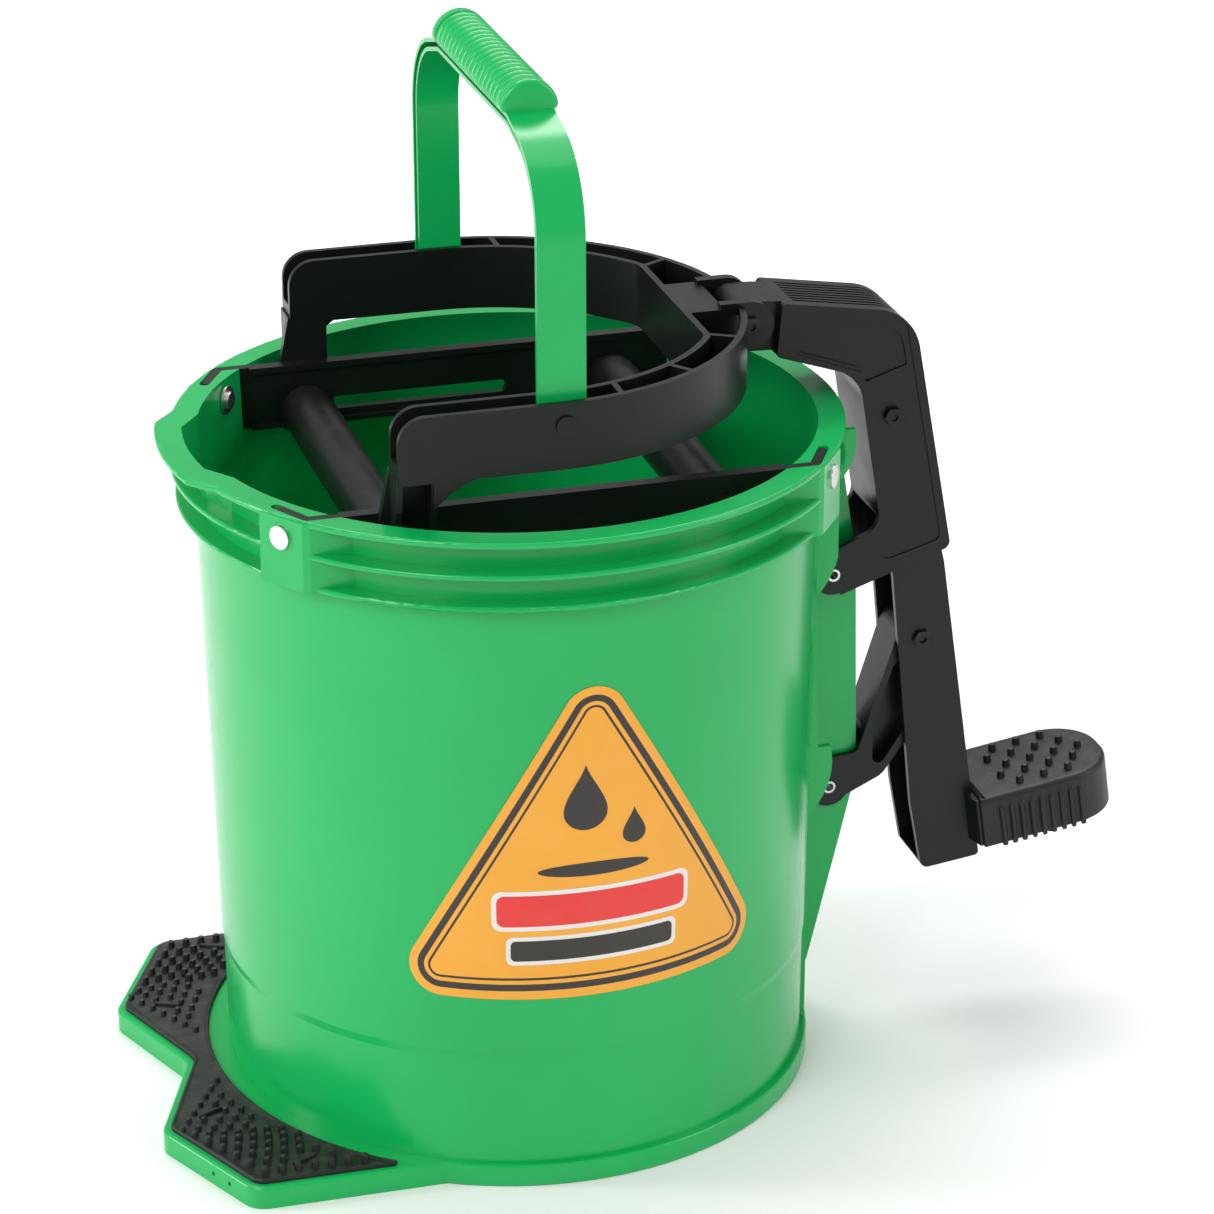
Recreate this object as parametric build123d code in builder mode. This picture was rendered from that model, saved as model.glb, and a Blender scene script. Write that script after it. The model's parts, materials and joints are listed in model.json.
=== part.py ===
"""Round mop bucket with a pedal-worked roller wringer.

The bucket stands on its base ring and on a two-winged foot plate.  Two rails cross its mouth and
carry a fixed roller.  A horseshoe yoke slides along the rails and carries the squeeze roller.  A
gooseneck lever behind the bucket pulls the yoke when the pedal is pressed.

Sizes are millimetres.  X runs from the foot plate to the pedal, Y to the back, Z up.  Every piece
is drawn about the bucket's axis and is moved at the end, so that the origin is the middle of the
whole object's footprint on the floor.
"""
import os
from math import atan2, cos, degrees, hypot, radians, sin, sqrt

from build123d import *

# ---- bucket ---------------------------------------------------------------------------------
AXIS_X = -58.15               # bucket axis, from the origin of the finished model
RIM_TOP = 313.7
RIM_RADIUS = 150.0
RIM_THICK = 3.0
WALL = 2.5
MOUTH_RADIUS = 140.3           # outside of the wall under the rim
BASE_RADIUS = 134.4            # outside of the wall at the floor
CREASE_Z = 65.0
FLOOR_Z = 56.0
FLOOR_THICK = 3.0
RING_1_Z = 296.6
RING_2_Z = 281.6
RING_THICK = 2.6
BASE_RING_RADIUS = 137.6
BASE_RING_HEIGHT = 10.5
SPOUT_RADIUS = 156.5
EDGE_ROUND = 1.1
BOSS_DEPTH = 14.4              # from 136 mm out to the rivet's head
BOSS_WIDTH = 24.0
BOSS_TAIL = [(134.0, 10.0), (150.4, 10.0), (150.4, 12.0), (149.0, 15.0), (136.7, 29.0), (134.0, 29.0)]

# ---- rails and rollers ----------------------------------------------------------------------
RAIL_OUT = 96.5                # distance of a rail's outer face from the middle
RAIL_THICK = 4.0
RAIL_TOP = 313.5
RAIL_BOTTOM = 284.0
RAIL_HALF = 112.0              # straight part of a rail, each side of the middle
AXLE_Z = 292.5
AXLE_R = 2.9
SLOT_HALF_HEIGHT = 3.0
FIXED_X = 73.5
SQUEEZE_X = -72.5
ROLLER_R = 12.2
ROLLER_WALL = 2.2
ROLLER_HALF = 87.5
RIVET_AT = (121.2, 87.2, 304.0)

# ---- yoke -----------------------------------------------------------------------------------
YOKE_TOP = 360.5
YOKE_BOTTOM = 331.0
YOKE_OUT = 113.5               # outer wall of an arm
YOKE_IN = 97.0                 # inner wall of an arm
YOKE_WALL = 3.0
YOKE_CENTRE_X = -8.0           # centre of the horseshoe's arc
YOKE_END_X = -77.0
YOKE_FLAT_X = 75.5             # flat inner wall behind the fixed roller
EAR_IN = 14.75
EAR_OUT = 19.75
EAR_R = 11.0

# ---- linkage pivots, X and Z ----------------------------------------------------------------
PIVOT_A = (148.1, 226.5)       # lever on the bucket
PIVOT_B = (150.7, 115.3)       # link on the bucket
PIVOT_C = (175.0, 301.4)       # pedal arm on the lever
PIVOT_D = (193.4, 187.8)       # link on the pedal arm
PIVOT_E = (106.5, 351.7)       # lever on the yoke
PIN_R = 3.0
RUNNING = 0.05                 # radial clearance of a turning fit
LUG_IN = 4.5
LUG_OUT = 8.5
LEVER_OUT = 19.3
LEVER_IN = 16.0
ARM_OUT = 15.5
ARM_IN = 12.5
LINK_OUT = 12.0
LINK_IN = 9.0
NECK_PANEL = [(129.5, 351.8), (178.0, 343.6), (181.2, 325.4), (161.8, 319.0), (158.6, 326.2), (129.5, 336.6)]
NECK_PANEL_DEPTH = 1.5
GROOVES = 8                    # in the top of the lever's neck
GROOVE_PITCH = 3.6
GROOVE_WIDTH = 1.8
GROOVE_DEPTH = 1.0

# ---- carrying handle ------------------------------------------------------------------------
HANDLE_X = -4.7
HANDLE_Z = 350.4
LEG_OUT = 107.0                # outer face of a handle leg
LEG_DEPTH = 6.0
LEG_HALF = 10.5
BEND_Z = 428.0
BEND_R = 40.0
GRIP_HALF = 60.0
GRIP_Z = 471.3                 # underside of the grip
GRIP_RIBS = 19

# ---- pedal ----------------------------------------------------------------------------------
PEDAL_SLOPE = 8.3              # degrees, rising away from the bucket
PEDAL_START = (216.5, 104.2)   # top of the pedal where it meets the arm, X and Z
PEDAL_LENGTH = 76.0
PEDAL_HALF = 27.0
PEDAL_HEIGHT = 25.0
COVER_WALL = 3.0

# ---- foot plate -----------------------------------------------------------------------------
FOOT_TOP = BASE_RING_HEIGHT
PAD_THICK = 2.0
STUD_R = 1.5
STUD_HEIGHT = 2.8

FRONT = Plane.XZ               # sketches in X and Z, facing -Y
os.makedirs("parts", exist_ok=True)


def save(part, name):
    """Move a piece, or a group of pieces, to the model's origin, label it and write it."""
    to_origin = Location((AXIS_X, 0, 0))
    if isinstance(part, list):
        piece = Compound(children=[solid.moved(to_origin) for solid in part])
    else:
        piece = part.moved(to_origin)
    piece.label = name
    export_step(piece, f"parts/{name}.step")


def side_plane(y):
    """Sketch plane in X and Z at the distance y, whose extrusions run towards +Y."""
    return Plane(origin=(0, y, 0), x_dir=(1, 0, 0), z_dir=(0, -1, 0))


def wall_radius(z):
    """Outside radius of the bucket's wall at the height z."""
    return BASE_RADIUS + (MOUTH_RADIUS - BASE_RADIUS) * z / RIM_TOP


def on_circle(radius, y):
    """X of the point at the side of +X on a circle about the bucket's axis."""
    return sqrt(radius * radius - y * y)


# ================================ bucket ======================================================
def bulged_circle(base, bulge, flat_half, blend_half):
    """Circle about the axis whose -X side steps out to a larger radius for the spout."""
    inner = -on_circle(base, blend_half)
    outer = -on_circle(bulge, flat_half)
    with BuildSketch() as drawn:
        with BuildLine():
            ThreePointArc((inner, -blend_half), (base, 0), (inner, blend_half))
            Line((inner, blend_half), (outer, flat_half))
            ThreePointArc((outer, flat_half), (-bulge, 0), (outer, -flat_half))
            Line((outer, -flat_half), (inner, -blend_half))
        make_face()
    return drawn.sketch


FOOT_CORNERS = [(-62.0, -121.5), (-150.5, -120.0), (-180.0, -58.5), (-157.0, 0.0),
                (-180.0, 58.5), (-150.5, 120.0), (-62.0, 121.5)]


def foot_outline():
    """Two wings joined at a notch, closed through the middle of the bucket."""
    with BuildSketch() as drawn:
        with BuildLine():
            FilletPolyline(*FOOT_CORNERS, radius=11)
            Line(FOOT_CORNERS[-1], FOOT_CORNERS[0])
        make_face()
    return drawn.sketch


LUG_OUTLINE = [(126, 284), (154.0, 284), (160.9, 241), (163.0, 215), (165.0, 128),
               (163.0, 110), (157.6, 87), (142.4, 24), (134.5, 8), (126, 8)]


def guard_outline():
    """Fin beside the pivots, with a round lobe over each pin's end and one beside the rim."""
    with BuildSketch() as drawn:
        with BuildLine():
            Polyline((124, 305), (150.5, 305), (150.5, 298))
            ThreePointArc((150.5, 298), (148.6, 289), (143.1, 281))
            Line((143.1, 281), (143.1, 244))
            ThreePointArc((143.1, 244), (140.1, 235.5), (133.0, 225.5))
            Polyline((133.0, 225.5), (135.5, 150), (141.5, 150))
            ThreePointArc((141.5, 150), (141.0, 132), (131.5, 116))
            Polyline((131.5, 116), (131.0, 8), (124, 8), (124, 305))
        make_face()
    return drawn.sketch


def rounded_ring(low, height, radius):
    """Disc about the axis whose outer edges are rounded."""
    with BuildPart() as made:
        with BuildSketch(Plane.XY.offset(low)):
            Circle(radius)
        extrude(amount=height)
        fillet(made.edges().filter_by(GeomType.CIRCLE), EDGE_ROUND)
    return made.part


with BuildPart() as rim:
    with BuildSketch(Plane.XY.offset(RIM_TOP - RIM_THICK)):
        add(bulged_circle(RIM_RADIUS, SPOUT_RADIUS, 36, 49))
    extrude(amount=RIM_THICK)
    fillet(rim.edges().filter_by(Plane.XY), EDGE_ROUND)

with BuildPart() as foot_plate:
    with BuildSketch(Plane.XY):
        add(foot_outline())
    extrude(amount=FOOT_TOP)
    fillet(foot_plate.edges().group_by(Axis.Z)[-1], EDGE_ROUND + 0.4)

with BuildPart() as bucket:
    # the outside, as one turned solid
    with BuildSketch(FRONT):
        with BuildLine():
            crease = wall_radius(CREASE_Z)
            Polyline((0, 0), (BASE_RADIUS, 0), (crease - 0.7, CREASE_Z - 2), (crease, CREASE_Z + 2),
                     (MOUTH_RADIUS, RIM_TOP), (0, RIM_TOP), (0, 0))
        make_face()
    revolve(axis=Axis.Z)
    add(rounded_ring(RING_1_Z, RING_THICK, RIM_RADIUS + 0.3))
    add(rounded_ring(RING_2_Z, RING_THICK, RIM_RADIUS - 1.6))
    add(rounded_ring(0, BASE_RING_HEIGHT, BASE_RING_RADIUS))
    # rim with its pouring lip, and the wall bulging out under it
    add(rim.part)
    with BuildSketch(Plane.XY.offset(RIM_TOP - RIM_THICK)):
        add(bulged_circle(MOUTH_RADIUS, 146.8, 28, 42))
    with BuildSketch(Plane.XY.offset(RING_2_Z)):
        add(bulged_circle(MOUTH_RADIUS - 0.9, MOUTH_RADIUS - 0.6, 28, 42))
    loft(ruled=True)
    # bosses that tie the rim to the rings at the four rivets
    for side_x in (1, -1):
        for side_y in (1, -1):
            toward = Vector(side_x * RIVET_AT[0], side_y * RIVET_AT[1], 0).normalized()
            block = Plane(origin=(toward * 136) + Vector(0, 0, RING_2_Z), x_dir=toward, z_dir=(0, 0, 1))
            with BuildSketch(block):
                Rectangle(BOSS_DEPTH, BOSS_WIDTH, align=(Align.MIN, Align.CENTER))
            extrude(amount=RIM_TOP - RING_2_Z - 1)
            # the boss slopes back to the wall, over the place where the rail comes out
            beside = Vector(-side_x * toward.Y * side_y, side_y * toward.X * side_x, 0)
            tail = [toward * out + beside * along for out, along in BOSS_TAIL]
            with BuildSketch(Plane.XY.offset(RING_2_Z)):
                with BuildLine():
                    Polyline(*[(corner.X, corner.Y) for corner in tail], close=True)
                make_face()
            extrude(amount=RIM_TOP - RING_2_Z - 1)
    add(foot_plate.part)
    # lug plates in the middle of the back, guard fins beside them
    for side in (1, -1):
        with BuildSketch(side_plane(side * (LUG_IN + LUG_OUT) / 2)):
            with BuildLine():
                Polyline(*LUG_OUTLINE, LUG_OUTLINE[0])
            make_face()
        extrude(amount=(LUG_OUT - LUG_IN) / 2, both=True)
        with BuildSketch(side_plane(side * 37.5)):
            add(guard_outline())
        extrude(amount=1.5, both=True)
    # the hollow above the floor, and the one below it
    with BuildSketch(FRONT):
        with BuildLine():
            floor_r = wall_radius(FLOOR_Z) - WALL - 0.7
            Polyline((0, FLOOR_Z), (floor_r, FLOOR_Z), (wall_radius(CREASE_Z + 2) - WALL, CREASE_Z + 2),
                     (MOUTH_RADIUS - WALL, RIM_TOP + 1), (0, RIM_TOP + 1), (0, FLOOR_Z))
        make_face()
    revolve(axis=Axis.Z, mode=Mode.SUBTRACT)
    with BuildSketch(FRONT):
        with BuildLine():
            under_z = FLOOR_Z - FLOOR_THICK
            Polyline((0, -1), (BASE_RADIUS - WALL - 0.6, -1), (wall_radius(under_z) - WALL - 0.7, under_z),
                     (0, under_z), (0, -1))
        make_face()
    revolve(axis=Axis.Z, mode=Mode.SUBTRACT)
    with BuildSketch(Plane.XY.offset(RIM_TOP + 0.1)):
        add(bulged_circle(MOUTH_RADIUS - WALL, 144.4, 26, 40))
    with BuildSketch(Plane.XY.offset(RING_2_Z + 2)):
        add(bulged_circle(MOUTH_RADIUS - WALL - 0.9, MOUTH_RADIUS - WALL - 0.6, 26, 40))
    loft(ruled=True, mode=Mode.SUBTRACT)
    # the foot plate is open from below
    with BuildSketch(Plane.XY.offset(-1)):
        add(foot_outline())
        offset(amount=-3)
        Circle(BASE_RING_RADIUS + 3, mode=Mode.SUBTRACT)
    extrude(amount=FOOT_TOP - 2, mode=Mode.SUBTRACT)
    # openings for the rail ends, from the top
    for side_x in (1, -1):
        for side_y in (1, -1):
            corner = (side_x * RAIL_HALF, side_y * (RAIL_OUT - 2))
            tip = (side_x * 121.4, side_y * 77.6)
            with BuildSketch(Plane.XY.offset(RAIL_BOTTOM - 0.3)):
                with BuildLine():
                    Polyline((side_x * 92, corner[1]), corner, tip)
                    offset(amount=RAIL_THICK / 2 + 0.35, side=Side.BOTH)
                make_face()
            extrude(amount=40, mode=Mode.SUBTRACT)
    # rivet holes and pivot holes
    for side_x in (1, -1):
        for side_y in (1, -1):
            toward = Vector(side_x * RIVET_AT[0], side_y * RIVET_AT[1], 0).normalized()
            with BuildSketch(Plane(origin=toward * 130 + Vector(0, 0, RIVET_AT[2]), z_dir=toward)):
                Circle(2.5 + RUNNING)
            extrude(amount=30, mode=Mode.SUBTRACT)
    with BuildSketch(side_plane(0)):
        with Locations(PIVOT_A, PIVOT_B):
            Circle(PIN_R)
    extrude(amount=LUG_OUT + 1, both=True, mode=Mode.SUBTRACT)
    # two drain holes in the side of the foot plate
    for hole_x in (-158.5, -163.5):
        hole_y = -103.5 + (hole_x + 158.5) * -2.1
        with BuildSketch(Plane(origin=(hole_x, hole_y, 5.5), z_dir=(-0.9, -0.43, 0))):
            Circle(1.1)
        extrude(amount=8, both=True, mode=Mode.SUBTRACT)
save(bucket.part, "bucket_body")


# ================================ foot pad ====================================================
def pad_outline(inset):
    """The foot plate's outline drawn in, and cut along an arc in front of the bucket's wall."""
    with BuildSketch() as drawn:
        add(foot_outline())
        offset(amount=-3.6 - inset)
        Circle(144.0 + inset, mode=Mode.SUBTRACT)
    return drawn.sketch


def stud_places():
    """Staggered rows of studs that fall on the two wings of the pad."""
    places = []
    for row in range(-16, 17):
        for column in range(14):
            x = -172.0 + column * 7.2 + (row % 2) * 3.6
            y = row * 6.9
            clear_of_arc = hypot(x, y) > 149.0
            wing = 33.0 < abs(y) < 111.5
            edge = x > -176.0 + max(0.0, abs(y) - 62.0) * 0.5 and x > -172.0 + max(0.0, 62.0 - abs(y)) * 0.38
            if clear_of_arc and wing and edge:
                places.append((x, y))
    return places


with BuildPart() as foot_pad:
    with BuildSketch(Plane.XY.offset(FOOT_TOP)):
        add(pad_outline(0))
    extrude(amount=PAD_THICK)
    with BuildSketch(Plane.XY.offset(FOOT_TOP + PAD_THICK)):
        with Locations(*stud_places()):
            Circle(STUD_R)
    extrude(amount=STUD_HEIGHT)
    with BuildSketch(Plane.XY.offset(FOOT_TOP + PAD_THICK)):
        with Locations(Location((-158, -78, 0), -35), Location((-158, 78, 0), 35)):
            Rectangle(15, 2)
    extrude(amount=1.5)
save(foot_pad.part, "foot_pad")

# ================================ caution label ===============================================
with BuildPart() as label:
    with BuildSketch(FRONT):
        with BuildLine():
            Polyline((wall_radius(80), 80), (wall_radius(80) + 0.3, 80), (wall_radius(250) + 0.3, 250),
                     (wall_radius(250), 250), (wall_radius(80), 80))
        make_face()
    revolve(axis=Axis.Z)
    with BuildSketch(Plane.XZ.offset(60)):
        with BuildLine():
            FilletPolyline((0, 255.5), (86, 93.5), (-86, 93.5), close=True, radius=14)
        make_face()
    extrude(amount=100, mode=Mode.INTERSECT)
save(label.part, "caution_label")


# ================================ rails =======================================================
def rail(side):
    """A rail on the side +1 or -1: slotted plate, bead, drip ledge and two bent tabs."""
    middle = side * (RAIL_OUT - RAIL_THICK / 2)
    inward = -side
    with BuildPart() as made:
        with BuildSketch(Plane.XY.offset(RAIL_BOTTOM)):
            with BuildLine():
                Polyline((-120.4, side * 79.0), (-RAIL_HALF, middle), (RAIL_HALF, middle),
                         (120.4, side * 79.0))
                offset(amount=RAIL_THICK / 2, side=Side.BOTH)
            make_face()
        extrude(amount=RAIL_TOP - RAIL_BOTTOM)
        # bead along the top and ledge along the bottom, on the inner side
        for z, height, depth in ((RAIL_TOP - 3, 3, 2.0), (RAIL_BOTTOM, 2.4, 3.2)):
            with BuildSketch(Plane.XY.offset(z)):
                with Locations((0, middle + inward * (RAIL_THICK / 2 + depth / 2))):
                    Rectangle(196, depth)
            extrude(amount=height)
        # boss round the fixed roller's axle, on the outer side
        with BuildSketch(side_plane(side * (RAIL_OUT + 0.7))):
            with Locations((FIXED_X, AXLE_Z + 1)):
                Circle(12.0)
        extrude(amount=0.8, both=True)
        # slot for the sliding axle and hole for the fixed one
        with BuildSketch(side_plane(middle)):
            with Locations((-28.0, AXLE_Z)):
                SlotCenterToCenter(98.0, 2 * SLOT_HALF_HEIGHT)
            with Locations((FIXED_X, AXLE_Z)):
                Circle(AXLE_R)
        extrude(amount=8, both=True, mode=Mode.SUBTRACT)
        # rivet holes in the tabs
        for side_x in (1, -1):
            toward = Vector(side_x * RIVET_AT[0], side * RIVET_AT[1], 0).normalized()
            with BuildSketch(Plane(origin=toward * 134 + Vector(0, 0, RIVET_AT[2]), z_dir=toward)):
                Circle(2.5 + RUNNING)
            extrude(amount=20, mode=Mode.SUBTRACT)
    return made.part


save(rail(-1), "front_rail")
save(rail(1), "rear_rail")


def turned(origin, direction, steps):
    """Solid turned about a line: steps are (start, end, radius) along it."""
    with BuildPart() as made:
        for start, end, radius in steps:
            at = Vector(*origin) + Vector(*direction).normalized() * start
            with BuildSketch(Plane(origin=at, z_dir=direction)):
                Circle(radius)
            extrude(amount=end - start)
    return made.part


rivets = []
washers = []
for side_x in (1, -1):
    for side_y in (1, -1):
        outward = Vector(side_x * RIVET_AT[0], side_y * RIVET_AT[1], 0).normalized()
        foot = (outward.X * 136, outward.Y * 136, RIVET_AT[2])
        rivets.append(turned(foot, outward, [(-0.3, 14.5, 2.5), (14.4, 15.8, 5.2), (-1.6, 0.0, 4.0)]))
        with BuildPart() as washer:
            with BuildSketch(Plane(origin=foot, z_dir=outward)):
                Circle(6.5)
                Circle(2.5 + RUNNING, mode=Mode.SUBTRACT)
            extrude(amount=1.0)
        washers.append(washer.part)
save(rivets, "rail_rivets")
save(washers, "rivet_washers")


# ================================ rollers =====================================================
def roller_tube(x):
    """Plain plastic tube from end to end."""
    with BuildPart() as made:
        with BuildSketch(side_plane(0)):
            with Locations((x, AXLE_Z)):
                Circle(ROLLER_R)
                Circle(ROLLER_R - ROLLER_WALL, mode=Mode.SUBTRACT)
        extrude(amount=ROLLER_HALF, both=True)
        outer_edges = made.edges().filter_by(GeomType.CIRCLE).group_by(SortBy.RADIUS)[-1]
        fillet(outer_edges, 1.0)
    return made.part


def roller_plugs(x):
    """Two flanged end plugs that turn on the axle."""
    plugs = []
    for side in (1, -1):
        with BuildPart() as made:
            with BuildSketch(side_plane(side * (ROLLER_HALF - 12))):
                with Locations((x, AXLE_Z)):
                    Circle(ROLLER_R - ROLLER_WALL)
                    Circle(AXLE_R + RUNNING, mode=Mode.SUBTRACT)
            extrude(amount=-side * 12)
            with BuildSketch(side_plane(side * ROLLER_HALF)):
                with Locations((x, AXLE_Z)):
                    Circle(5.5)
                    Circle(AXLE_R + RUNNING, mode=Mode.SUBTRACT)
            extrude(amount=-side * 1.0)
        plugs.append(made.part)
    return plugs


def axle(x, half, head):
    """Steel axle with a low head at both ends."""
    return turned((x, 0, AXLE_Z), (0, 1, 0), [(-half, half, AXLE_R), (half, half + head, 5.2),
                                              (-half - head, -half, 5.2)])


save(roller_tube(FIXED_X), "fixed_roller")
save(roller_plugs(FIXED_X), "fixed_roller_plugs")
save(axle(FIXED_X, 98.4, 2.0), "fixed_roller_axle")
save(roller_tube(SQUEEZE_X), "squeeze_roller")
save(roller_plugs(SQUEEZE_X), "squeeze_roller_plugs")
save(axle(SQUEEZE_X, 101.2, 1.6), "squeeze_roller_axle")


# ================================ yoke ========================================================
def horseshoe(outer, inner, end_x, flat_x):
    """Plan of the horseshoe between two offsets of its walls."""
    with BuildSketch() as drawn:
        with Locations(((end_x + YOKE_CENTRE_X) / 2, 0)):
            Rectangle(YOKE_CENTRE_X - end_x, 2 * outer)
        with Locations((YOKE_CENTRE_X, 0)):
            Circle(outer)
        with Locations(((end_x + YOKE_CENTRE_X) / 2 - 60, 0)):
            Rectangle(YOKE_CENTRE_X - end_x + 120, 2 * inner, mode=Mode.SUBTRACT)
        with BuildSketch(mode=Mode.PRIVATE) as bay:
            with Locations((YOKE_CENTRE_X, 0)):
                Circle(inner)
            with Locations((flat_x - 150, 0)):
                Rectangle(300, 260, mode=Mode.INTERSECT)
            fillet(bay.vertices(), 12)
        add(bay.sketch, mode=Mode.SUBTRACT)
        with Locations((end_x - 100, 0)):
            Rectangle(200, 400, mode=Mode.SUBTRACT)
    return drawn.sketch


def leg_outline():
    """Leg of the yoke seen from the side: round about the axle, narrower above it."""
    with BuildSketch() as drawn:
        with BuildLine():
            Line((-60.0, 334.0), (-78.0, 334.0))
            Line((-78.0, 334.0), (-84.5, 301.5))
            ThreePointArc((-84.5, 301.5), (SQUEEZE_X, AXLE_Z - 15), (-60.5, 301.5))
            Line((-60.5, 301.5), (-60.0, 334.0))
        make_face()
    return drawn.sketch


with BuildPart() as yoke:
    with BuildSketch(Plane.XY.offset(YOKE_BOTTOM)):
        add(horseshoe(YOKE_OUT, YOKE_IN, YOKE_END_X, YOKE_FLAT_X))
    extrude(amount=YOKE_TOP - YOKE_BOTTOM)
    # the arms' upper end corners are rounded
    end_edges = yoke.edges().filter_by(Axis.Y).group_by(Axis.X)[0].group_by(Axis.Z)[-1]
    fillet(end_edges, 12)
    # the trough between the walls, with its ribs left standing
    with BuildSketch(Plane.XY.offset(YOKE_BOTTOM + YOKE_WALL)):
        add(horseshoe(YOKE_OUT - YOKE_WALL, YOKE_IN + YOKE_WALL, YOKE_END_X + YOKE_WALL,
                      YOKE_FLAT_X + YOKE_WALL))
        for side in (1, -1):
            with Locations((21.0, side * 105)):
                Rectangle(2.6, 20, mode=Mode.SUBTRACT)
            for angle in (54.0, 29.5):
                ray = (YOKE_CENTRE_X + 105 * cos(radians(angle)), side * 105 * sin(radians(angle)))
                with Locations(Location((ray[0], ray[1], 0), side * angle)):
                    Rectangle(40, 2.6, mode=Mode.SUBTRACT)
        with Locations((95, 0)):
            Rectangle(36, 40, mode=Mode.SUBTRACT)
    extrude(amount=40, mode=Mode.SUBTRACT)
    # the arm's end wall is low, so that the handle can lie down over it
    for side in (1, -1):
        with BuildSketch(Plane.XY.offset(339.3)):
            with Locations((YOKE_END_X, side * (YOKE_OUT + YOKE_IN) / 2)):
                Rectangle(8, YOKE_OUT - YOKE_IN - 2 * YOKE_WALL)
        extrude(amount=30, mode=Mode.SUBTRACT)
    # pocket between the ears for the lever's tongue, and a hollow under the top plate
    with BuildSketch(Plane.XY.offset(YOKE_BOTTOM - 1)):
        with Locations((94.5, 0)):
            Rectangle(30, 2 * EAR_IN, align=(Align.MIN, Align.CENTER))
    extrude(amount=50, mode=Mode.SUBTRACT)
    with BuildSketch(Plane.XY.offset(YOKE_BOTTOM - 1)):
        with Locations((81.0, 0)):
            Rectangle(10, 34, align=(Align.MIN, Align.CENTER))
    extrude(amount=27, mode=Mode.SUBTRACT)
    for side in (1, -1):
        # ears
        with BuildSketch(side_plane(side * (EAR_IN + EAR_OUT) / 2)):
            with Locations(PIVOT_E):
                Circle(EAR_R)
            with Locations((PIVOT_E[0], PIVOT_E[1])):
                Rectangle(14, 2 * EAR_R, align=(Align.MAX, Align.CENTER))
        extrude(amount=(EAR_OUT - EAR_IN) / 2, both=True)
        # room for the bolt's head and nut beside the ears
        with BuildSketch(side_plane(side * (EAR_OUT + 4))):
            with Locations(PIVOT_E):
                Circle(8.0)
        extrude(amount=4, both=True, mode=Mode.SUBTRACT)
        # leg plate beside the rail
        with BuildSketch(side_plane(side * 99)):
            add(leg_outline())
        extrude(amount=2.0, both=True)
        # two flanges that stiffen the leg under the arm
        for flange_x in (-76.6, -61.4):
            with BuildSketch(Plane(origin=(flange_x, 0, 0), x_dir=(0, side, 0), z_dir=(side, 0, 0))):
                with BuildLine():
                    Polyline((98, 334), (113.0, 334), (112.0, 319), (103.5, 302), (98, 302), (98, 334))
                make_face()
            extrude(amount=1.4, both=True)
        # curved gusset under the arm's outer wall
        with BuildSketch(side_plane(side * 112)):
            with BuildLine():
                Polyline((-62, 334), (-62, 319))
                ThreePointArc((-62, 319), (-51.5, 327.5), (-20, YOKE_BOTTOM + 0.5))
                Polyline((-20, YOKE_BOTTOM + 0.5), (-20, 334), (-62, 334))
            make_face()
        extrude(amount=1.4, both=True)
    # holes: yoke pivot, squeeze roller axle, handle pins
    with BuildSketch(side_plane(0)):
        with Locations(PIVOT_E):
            Circle(PIN_R)
        with Locations((SQUEEZE_X, AXLE_Z)):
            Circle(AXLE_R)
        with Locations((HANDLE_X, HANDLE_Z)):
            Circle(PIN_R)
    extrude(amount=130, both=True, mode=Mode.SUBTRACT)
save(yoke.part, "wringer_yoke")

handle_pins = []
for side in (1, -1):
    handle_pins.append(turned((HANDLE_X, 0, HANDLE_Z), (0, side, 0),
                              [(96.0, YOKE_OUT, PIN_R), (YOKE_OUT, YOKE_OUT + 1.4, 4.6)]))
save(handle_pins, "handle_pins")


def hex_bolt(pivot, half):
    """Low hexagon head bolt with its head at the front."""
    with BuildPart() as made:
        with BuildSketch(side_plane(0)):
            with Locations(pivot):
                Circle(PIN_R)
        extrude(amount=half, both=True)
        with BuildSketch(side_plane(-half)):
            with Locations(pivot):
                RegularPolygon(3.9, 6, major_radius=False)
        extrude(amount=2.0)
        with BuildSketch(side_plane(-half - 2.0)):
            with Locations(pivot):
                Circle(1.9)
        extrude(amount=-1.0, mode=Mode.SUBTRACT)
    return made.part


def lock_nut(pivot, face):
    """Hexagon nut behind the rear face, bored for the bolt."""
    with BuildPart() as made:
        with BuildSketch(side_plane(face)):
            with Locations(pivot):
                RegularPolygon(5.0, 6, major_radius=False)
                Circle(PIN_R, mode=Mode.SUBTRACT)
        extrude(amount=-4.6)
    return made.part


def bolt_with_tail(pivot, face, tail):
    """Bolt whose shank runs on past the rear face by the tail."""
    with BuildPart() as made:
        add(hex_bolt(pivot, face))
        with BuildSketch(side_plane(face)):
            with Locations(pivot):
                Circle(PIN_R)
        extrude(amount=-tail)
    return made.part


save(bolt_with_tail(PIVOT_E, EAR_OUT, 5.4), "yoke_pivot_bolt")
save(lock_nut(PIVOT_E, EAR_OUT), "yoke_pivot_nut")


# ================================ lever =======================================================
def lever_outline():
    """Gooseneck seen from the side, with its foot round about the lever pivot."""
    with BuildSketch() as drawn:
        with BuildLine():
            FilletPolyline((121.5, 360.2), (184.0, 350.3), (204.9, 234.2), (151.6, 216.1), (143.6, 236.5),
                           (170.5, 247.5), (158.4, 322.2), (119.2, 335.3), close=True,
                           radius=[2.0, 24.0, 4.0, 0.5, 0.5, 10.0, 18.0, 2.0])
        make_face()
        with Locations(PIVOT_A):
            Circle(9.8)
    return drawn.sketch


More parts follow.
